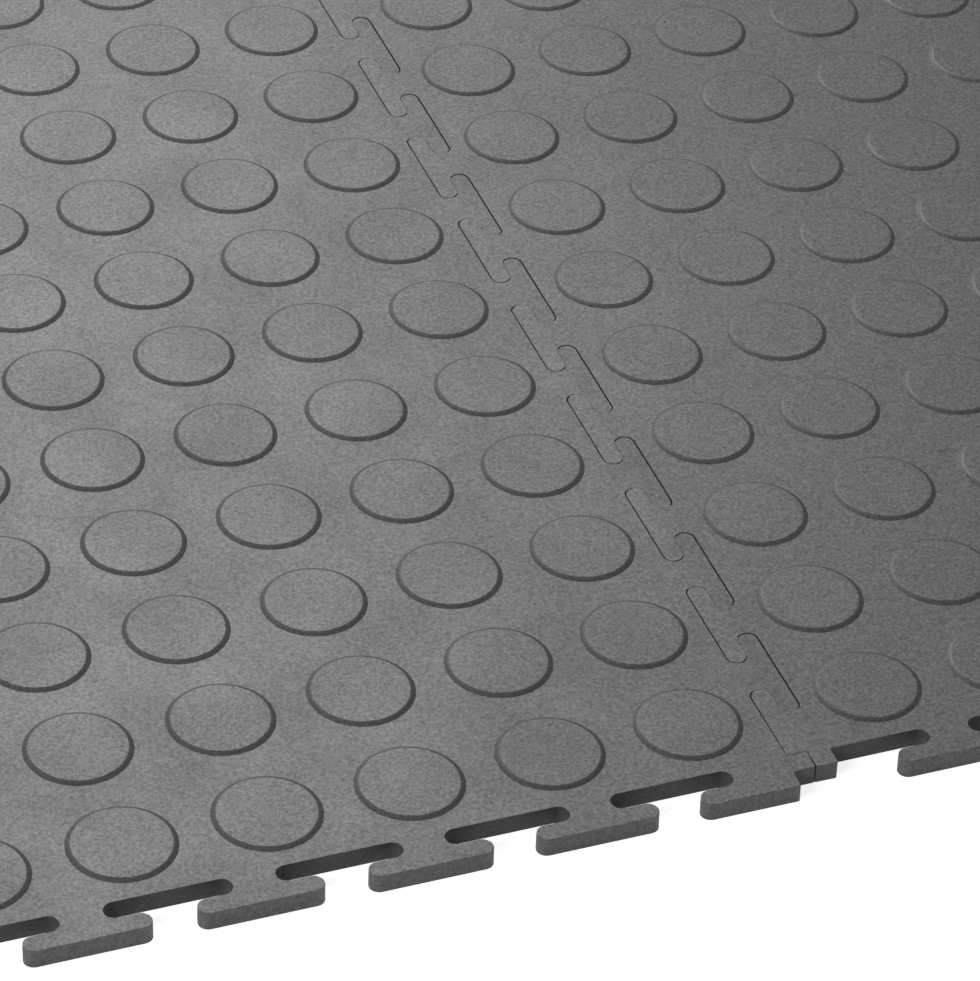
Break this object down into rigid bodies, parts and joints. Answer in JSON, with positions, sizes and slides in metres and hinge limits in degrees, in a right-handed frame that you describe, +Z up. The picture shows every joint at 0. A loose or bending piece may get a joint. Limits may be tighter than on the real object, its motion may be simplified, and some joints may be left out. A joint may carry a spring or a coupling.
{
  "type": "interlocking floor mat",
  "caption": "Flat rubber-like floor mat of square tiles with low round studs, joined edge to edge by T-shaped tabs; one tile lifts off the other.",
  "frame": {"origin": "on the floor, under the middle of the joined pair, where the seam's centre is", "axes": "+X across the pair from the left tile to the right tile, +Y along the seam away from the front edge, +Z up out of the studs"},
  "size_m": [1.0102, 0.5102, 0.0057],
  "materials": {
    "tile_vinyl": "matt moulded, fine grain"
  },
  "bodies": {
    "left_tile": {"left_tile": "tile_vinyl"},
    "right_tile": {"right_tile": "tile_vinyl"}
  },
  "joints": [
    {"name": "right_tile_lift", "type": "slide", "parent": "left_tile", "child": "right_tile", "axis": [0, 0, 1], "range_m": [0, 0.03]}
  ]
}
